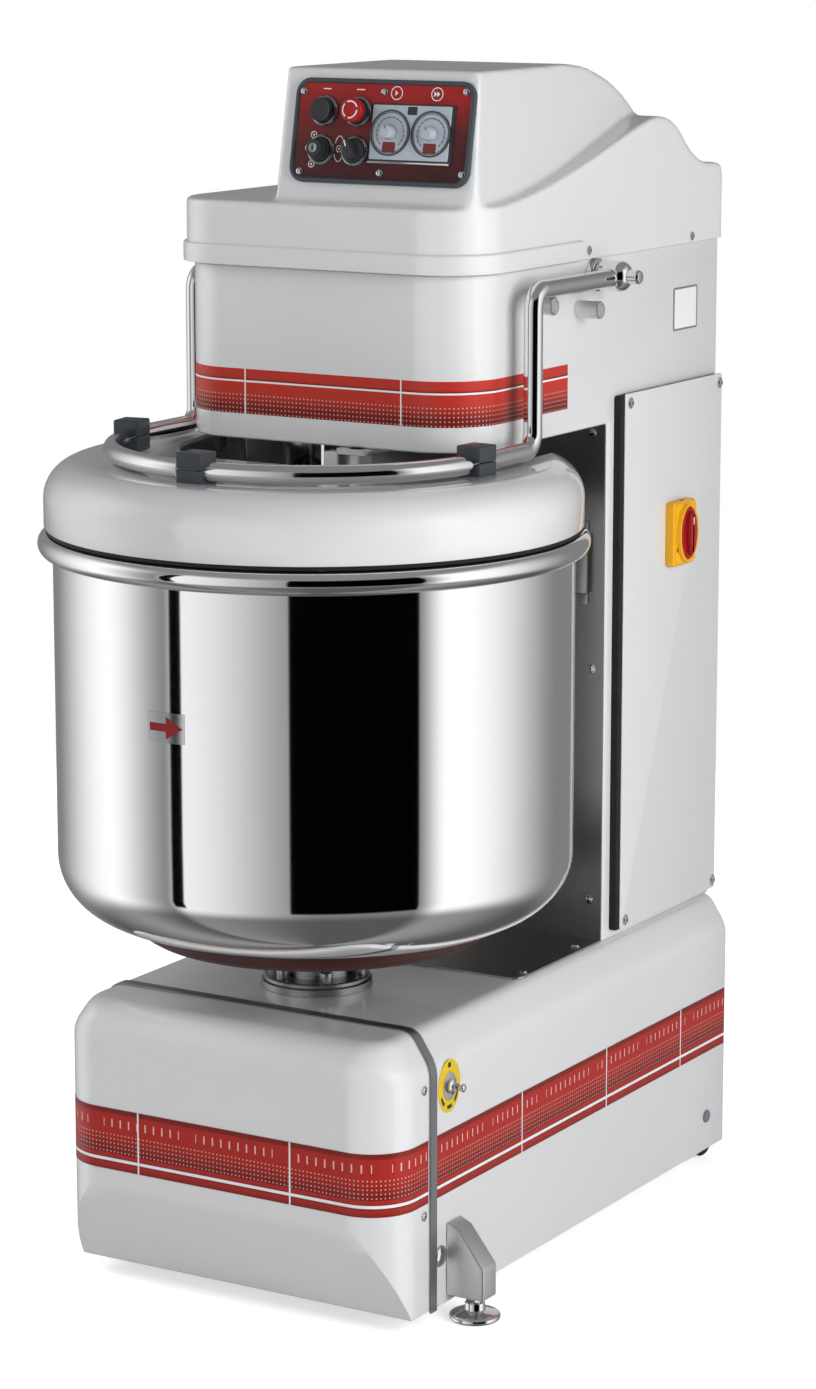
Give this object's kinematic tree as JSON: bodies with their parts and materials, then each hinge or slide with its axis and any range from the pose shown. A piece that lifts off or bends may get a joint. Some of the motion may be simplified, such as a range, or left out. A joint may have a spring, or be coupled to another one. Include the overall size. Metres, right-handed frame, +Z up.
{
  "type": "floor-standing spiral dough mixer",
  "caption": "Floor-standing spiral dough mixer with a turning steel bowl, spiral tool, lift-up guard, belt drives and a tilted control console.",
  "frame": {"origin": "on the floor, under the centre of the part's bounding box", "axes": "+X towards the side with the door and the main switch, +Y towards the back, +Z up; the bowl is at the front, -Y"},
  "size_m": [0.5246, 0.781, 1.161],
  "materials": {
    "white_paint": "smooth gloss paint",
    "white_moulding": "gloss gel coat",
    "aluminium": "satin",
    "sheet_steel": "brushed stainless",
    "bowl_steel": "polished stainless, turned grain",
    "bright_steel": "bright",
    "polished_tube": "polished",
    "cast_iron": "machined",
    "maroon_paint": "satin primer",
    "motor_paint": "satin",
    "rubber": "matt",
    "black_plastic": "fine texture",
    "red_plastic": "gloss",
    "yellow_plastic": "satin",
    "grey_plastic": "satin"
  },
  "bodies": {
    "frame": {"base_body": "white_paint", "base_front_cover": "white_paint", "base_seam_trim": "aluminium", "base_floor": "sheet_steel", "castor_frame": "sheet_steel", "grease_nipple": "bright_steel", "cable_gland": "black_plastic", "foot_bracket_left": "sheet_steel", "foot_bracket_right": "sheet_steel", "upper_frame": "white_paint", "inner_panel": "sheet_steel", "rear_panel": "white_paint", "door_gasket": "rubber", "door": "white_paint", "main_switch_plate": "yellow_plastic", "breaker_bar": "bright_steel", "top_cover": "white_moulding", "control_frame": "grey_plastic", "control_plate": "red_plastic", "start_bezel": "black_plastic", "stop_bezel": "black_plastic", "key_bezel": "black_plastic", "reverse_bezel": "black_plastic", "timer_plate": "grey_plastic", "bowl_bearing": "bright_steel", "bowl_belt": "rubber", "bowl_motor": "motor_paint", "spiral_belt": "rubber", "spiral_motor": "motor_paint", "pivot_pin_left": "polished_tube", "pivot_pin_right": "polished_tube", "rest_stop_left": "bright_steel", "rest_stop_right": "bright_steel", "open_stop_left": "bright_steel", "open_stop_right": "bright_steel"},
    "bowl": {"bowl": "bowl_steel", "bowl_plate": "maroon_paint", "bowl_hub": "bright_steel", "bowl_pulley": "cast_iron"},
    "bowl_motor_shaft": {"bowl_motor_pulley": "cast_iron"},
    "spiral": {"spiral_tool": "bright_steel", "spiral_pulley": "cast_iron"},
    "spiral_motor_shaft": {"spiral_motor_pulley": "cast_iron"},
    "guard": {"guard_lid": "white_moulding", "guard_tube": "polished_tube", "clamp_left": "black_plastic", "clamp_front": "black_plastic", "clamp_right": "black_plastic"},
    "lid_switch": {"lid_switch_plunger": "black_plastic"},
    "start": {"start_button": "black_plastic"},
    "stop": {"stop_button": "red_plastic"},
    "key": {"key_selector": "bright_steel"},
    "reverse": {"reverse_selector": "black_plastic"},
    "timer_slow": {"timer_knob_slow": "grey_plastic"},
    "timer_fast": {"timer_knob_fast": "grey_plastic"},
    "main_switch": {"main_switch_knob": "red_plastic"},
    "foot_left": {"levelling_foot_left": "bright_steel"},
    "foot_right": {"levelling_foot_right": "bright_steel"},
    "wheel_left": {"castor_wheel_left": "rubber"},
    "wheel_right": {"castor_wheel_right": "rubber"}
  },
  "joints": [
    {"name": "bowl_spin", "type": "hinge", "parent": "frame", "child": "bowl", "pos_m": [0, -0.1282, 0.35], "axis": [0, 0, 1], "continuous": true},
    {"name": "bowl_motor_spin", "type": "hinge", "parent": "frame", "child": "bowl_motor_shaft", "pos_m": [0, 0.2168, 0.161], "axis": [0, 0, 1], "continuous": true},
    {"name": "spiral_spin", "type": "hinge", "parent": "frame", "child": "spiral", "pos_m": [-0.075, -0.0232, 0.8], "axis": [0, 0, 1], "continuous": true},
    {"name": "spiral_motor_spin", "type": "hinge", "parent": "frame", "child": "spiral_motor_shaft", "pos_m": [0.045, 0.2668, 0.909], "axis": [0, 0, 1], "continuous": true},
    {"name": "guard_lift", "type": "hinge", "parent": "frame", "child": "guard", "pos_m": [0, 0.1168, 0.959], "axis": [-1, 0, 0], "range_deg": [0, 60]},
    {"name": "lid_switch_press", "type": "slide", "parent": "frame", "child": "lid_switch", "axis": [0, 0, 1], "range_m": [0, 0.005], "stiffness_N_per_m": 300, "springref_m": -0.002},
    {"name": "start_press", "type": "slide", "parent": "frame", "child": "start", "axis": [0, 0.9816, -0.1908], "range_m": [0, 0.0025], "stiffness_N_per_m": 400, "springref_m": -0.001},
    {"name": "stop_press", "type": "slide", "parent": "frame", "child": "stop", "axis": [0, 0.9816, -0.1908], "range_m": [0, 0.0025], "stiffness_N_per_m": 400, "springref_m": -0.001},
    {"name": "key_turn", "type": "hinge", "parent": "frame", "child": "key", "pos_m": [-0.0065, -0.09895, 1.08461], "axis": [0, 0.9816, -0.1908], "range_deg": [0, 90]},
    {"name": "reverse_turn", "type": "hinge", "parent": "frame", "child": "reverse", "pos_m": [0.0305, -0.09895, 1.08461], "axis": [0, 0.9816, -0.1908], "range_deg": [-45, 45]},
    {"name": "timer_slow_turn", "type": "hinge", "parent": "frame", "child": "timer_slow", "pos_m": [0.068, -0.09555, 1.10208], "axis": [0, 0.9816, -0.1908], "range_deg": [0, 300]},
    {"name": "timer_fast_turn", "type": "hinge", "parent": "frame", "child": "timer_fast", "pos_m": [0.112, -0.09555, 1.10208], "axis": [0, 0.9816, -0.1908], "range_deg": [0, 300]},
    {"name": "main_switch_turn", "type": "hinge", "parent": "frame", "child": "main_switch", "pos_m": [0.19, 0.2838, 0.685], "axis": [1, 0, 0], "range_deg": [0, 90]},
    {"name": "foot_left_screw", "type": "slide", "parent": "frame", "child": "foot_left", "axis": [0, 0, -1], "range_m": [0, 0.012]},
    {"name": "foot_right_screw", "type": "slide", "parent": "frame", "child": "foot_right", "axis": [0, 0, -1], "range_m": [0, 0.012]},
    {"name": "wheel_left_roll", "type": "hinge", "parent": "frame", "child": "wheel_left", "pos_m": [-0.168, 0.3658, 0.018], "axis": [1, 0, 0], "continuous": true},
    {"name": "wheel_right_roll", "type": "hinge", "parent": "frame", "child": "wheel_right", "pos_m": [0.168, 0.3658, 0.018], "axis": [1, 0, 0], "continuous": true}
  ],
  "couplings": [
    {"joint": "bowl_motor_spin", "follows": "bowl_spin", "ratio": 3.9333},
    {"joint": "spiral_motor_spin", "follows": "spiral_spin", "ratio": 2.7857}
  ]
}
